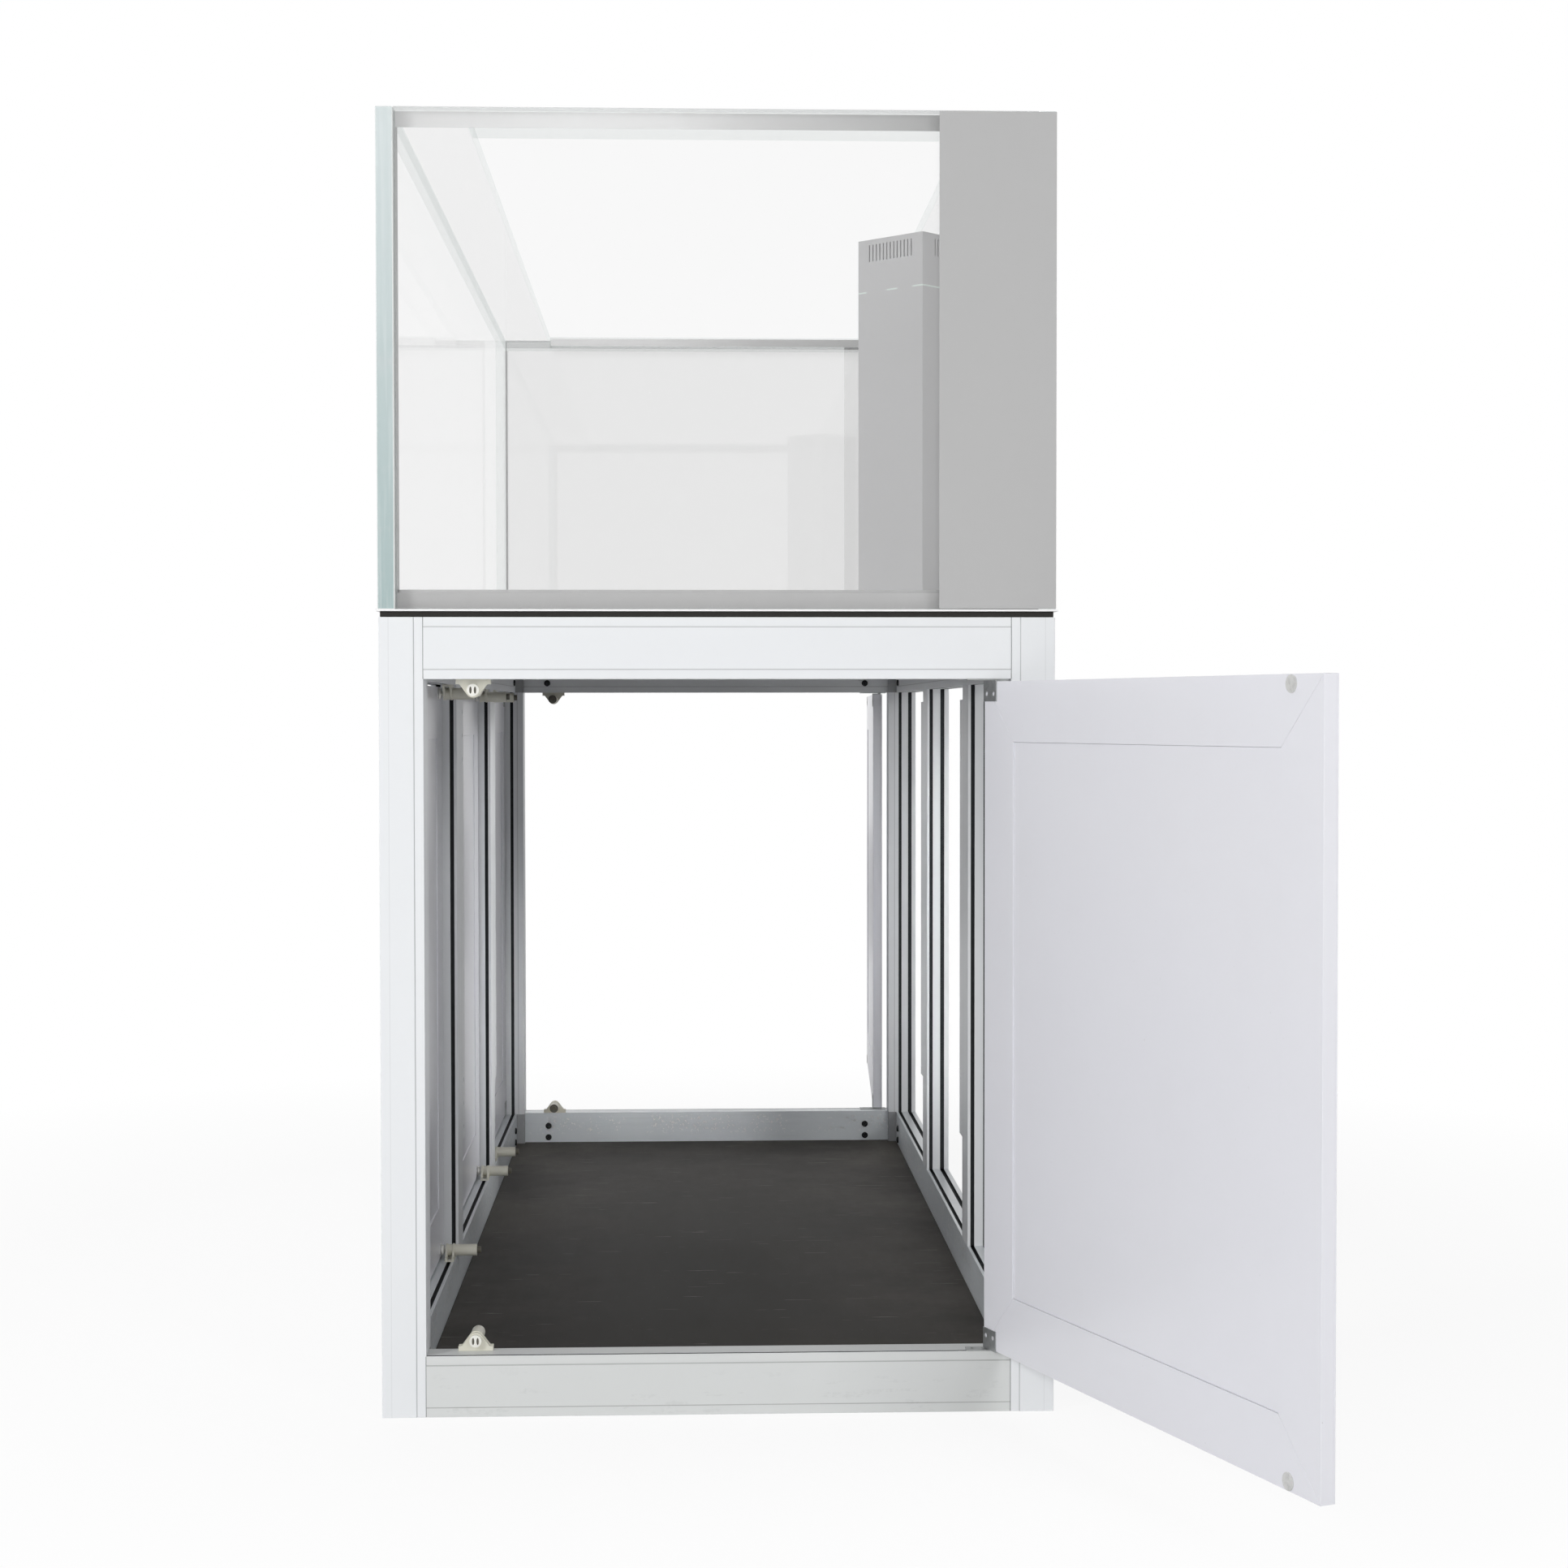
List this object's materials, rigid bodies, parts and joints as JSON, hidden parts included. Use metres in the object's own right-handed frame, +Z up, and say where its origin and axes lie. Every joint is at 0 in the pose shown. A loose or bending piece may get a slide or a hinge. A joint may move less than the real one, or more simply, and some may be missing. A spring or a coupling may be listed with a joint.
{
  "type": "aquarium on stand",
  "caption": "Large rimmed glass reef tank with a corner-turned overflow, on a white framed cabinet stand with hinged doors, push latches and an open pipework side.",
  "frame": {"origin": "middle of the stand's footprint, on the floor", "axes": "+Z up, +Y along the length from the front end to the back end, +X across the width towards the open pipework side"},
  "size_m": [0.9243, 3.0207, 1.45],
  "materials": {
    "frame_white": "satin",
    "door_white": "satin",
    "strip_white": "satin",
    "block_aluminium": "satin",
    "screw_black": "satin",
    "board_dark": "satin",
    "fitting_steel": "satin",
    "hinge_steel": "satin",
    "small_screw_steel": "satin",
    "latch_ivory": "satin",
    "plunger_ivory": "satin",
    "mat_black": "matte",
    "sheet_white": "satin",
    "tank_glass": "polished",
    "overflow_grey": "satin",
    "pvc_grey": "satin"
  },
  "bodies": {
    "stand_and_tank": {"back_bottom_rail": "frame_white", "back_left_post": "frame_white", "back_pane": "tank_glass", "back_right_post": "frame_white", "back_top_rail": "frame_white", "base_sheet": "sheet_white", "bottom_pane": "tank_glass", "cross_beams": "frame_white", "drain_fittings": "pvc_grey", "floor_board": "board_dark", "front_bottom_rail": "frame_white", "front_left_post": "frame_white", "front_pane": "tank_glass", "front_right_post": "frame_white", "front_top_rail": "frame_white", "joint_blocks": "block_aluminium", "joint_screws": "screw_black", "latch_bodies": "latch_ivory", "latch_screws": "small_screw_steel", "left_bottom_rail": "frame_white", "left_mullion_1": "frame_white", "left_mullion_2": "frame_white", "left_pane": "tank_glass", "left_top_rail": "frame_white", "mounting_strips": "strip_white", "overflow_tower": "overflow_grey", "pivot_plates": "hinge_steel", "right_bottom_rail": "frame_white", "right_mullion_1": "frame_white", "right_mullion_2": "frame_white", "right_pane": "tank_glass", "right_top_rail": "frame_white", "rim_braces": "tank_glass", "support_mat": "mat_black", "top_board": "board_dark"},
    "front_door": {"front_door_frame": "door_white", "front_door_panel": "door_white", "front_door_fittings": "fitting_steel"},
    "back_door": {"back_door_frame": "door_white", "back_door_panel": "door_white", "back_door_fittings": "fitting_steel"},
    "side_door_1": {"side_door_1_frame": "door_white", "side_door_1_panel": "door_white", "side_door_1_fittings": "fitting_steel"},
    "side_door_2": {"side_door_2_frame": "door_white", "side_door_2_panel": "door_white", "side_door_2_fittings": "fitting_steel"},
    "side_door_3": {"side_door_3_frame": "door_white", "side_door_3_panel": "door_white", "side_door_3_fittings": "fitting_steel"},
    "back_door_bottom_plunger_body": {"back_door_bottom_plunger": "plunger_ivory"},
    "back_door_top_plunger_body": {"back_door_top_plunger": "plunger_ivory"},
    "front_door_bottom_plunger_body": {"front_door_bottom_plunger": "plunger_ivory"},
    "front_door_top_plunger_body": {"front_door_top_plunger": "plunger_ivory"},
    "side_door_1_bottom_plunger_body": {"side_door_1_bottom_plunger": "plunger_ivory"},
    "side_door_1_top_plunger_body": {"side_door_1_top_plunger": "plunger_ivory"},
    "side_door_2_bottom_plunger_body": {"side_door_2_bottom_plunger": "plunger_ivory"},
    "side_door_2_top_plunger_body": {"side_door_2_top_plunger": "plunger_ivory"},
    "side_door_3_bottom_plunger_body": {"side_door_3_bottom_plunger": "plunger_ivory"},
    "side_door_3_top_plunger_body": {"side_door_3_top_plunger": "plunger_ivory"}
  },
  "joints": [
    {"name": "front_door_hinge", "type": "hinge", "parent": "stand_and_tank", "child": "front_door", "pos_m": [0.312, -0.895, 0.445], "axis": [0, 0, 1], "range_deg": [-111.2, 8.8]},
    {"name": "back_door_hinge", "type": "hinge", "parent": "stand_and_tank", "child": "back_door", "pos_m": [0.312, 0.895, 0.445], "axis": [0, 0, -1], "range_deg": [-93, 27]},
    {"name": "side_door_1_hinge", "type": "hinge", "parent": "stand_and_tank", "child": "side_door_1", "pos_m": [-0.37, -0.837, 0.445], "axis": [0, 0, 1], "range_deg": [0, 120]},
    {"name": "side_door_2_hinge", "type": "hinge", "parent": "stand_and_tank", "child": "side_door_2", "pos_m": [-0.37, -0.247, 0.445], "axis": [0, 0, 1], "range_deg": [0, 120]},
    {"name": "side_door_3_hinge", "type": "hinge", "parent": "stand_and_tank", "child": "side_door_3", "pos_m": [-0.37, 0.837, 0.445], "axis": [0, 0, -1], "range_deg": [0, 120]},
    {"name": "front_door_bottom_plunger_press", "type": "slide", "parent": "stand_and_tank", "child": "front_door_bottom_plunger_body", "axis": [0, 1, 0], "range_m": [0, 0.0024], "stiffness_N_per_m": 600, "springref_m": -0.002},
    {"name": "front_door_top_plunger_press", "type": "slide", "parent": "stand_and_tank", "child": "front_door_top_plunger_body", "axis": [0, 1, 0], "range_m": [0, 0.0024], "stiffness_N_per_m": 600, "springref_m": -0.002},
    {"name": "back_door_bottom_plunger_press", "type": "slide", "parent": "stand_and_tank", "child": "back_door_bottom_plunger_body", "axis": [0, -1, 0], "range_m": [0, 0.0024], "stiffness_N_per_m": 600, "springref_m": -0.002},
    {"name": "back_door_top_plunger_press", "type": "slide", "parent": "stand_and_tank", "child": "back_door_top_plunger_body", "axis": [0, -1, 0], "range_m": [0, 0.0024], "stiffness_N_per_m": 600, "springref_m": -0.002},
    {"name": "side_door_1_bottom_plunger_press", "type": "slide", "parent": "stand_and_tank", "child": "side_door_1_bottom_plunger_body", "axis": [1, 0, 0], "range_m": [0, 0.0024], "stiffness_N_per_m": 600, "springref_m": -0.002},
    {"name": "side_door_1_top_plunger_press", "type": "slide", "parent": "stand_and_tank", "child": "side_door_1_top_plunger_body", "axis": [1, 0, 0], "range_m": [0, 0.0024], "stiffness_N_per_m": 600, "springref_m": -0.002},
    {"name": "side_door_2_bottom_plunger_press", "type": "slide", "parent": "stand_and_tank", "child": "side_door_2_bottom_plunger_body", "axis": [1, 0, 0], "range_m": [0, 0.0024], "stiffness_N_per_m": 600, "springref_m": -0.002},
    {"name": "side_door_2_top_plunger_press", "type": "slide", "parent": "stand_and_tank", "child": "side_door_2_top_plunger_body", "axis": [1, 0, 0], "range_m": [0, 0.0024], "stiffness_N_per_m": 600, "springref_m": -0.002},
    {"name": "side_door_3_bottom_plunger_press", "type": "slide", "parent": "stand_and_tank", "child": "side_door_3_bottom_plunger_body", "axis": [1, 0, 0], "range_m": [0, 0.0024], "stiffness_N_per_m": 600, "springref_m": -0.002},
    {"name": "side_door_3_top_plunger_press", "type": "slide", "parent": "stand_and_tank", "child": "side_door_3_top_plunger_body", "axis": [1, 0, 0], "range_m": [0, 0.0024], "stiffness_N_per_m": 600, "springref_m": -0.002}
  ]
}
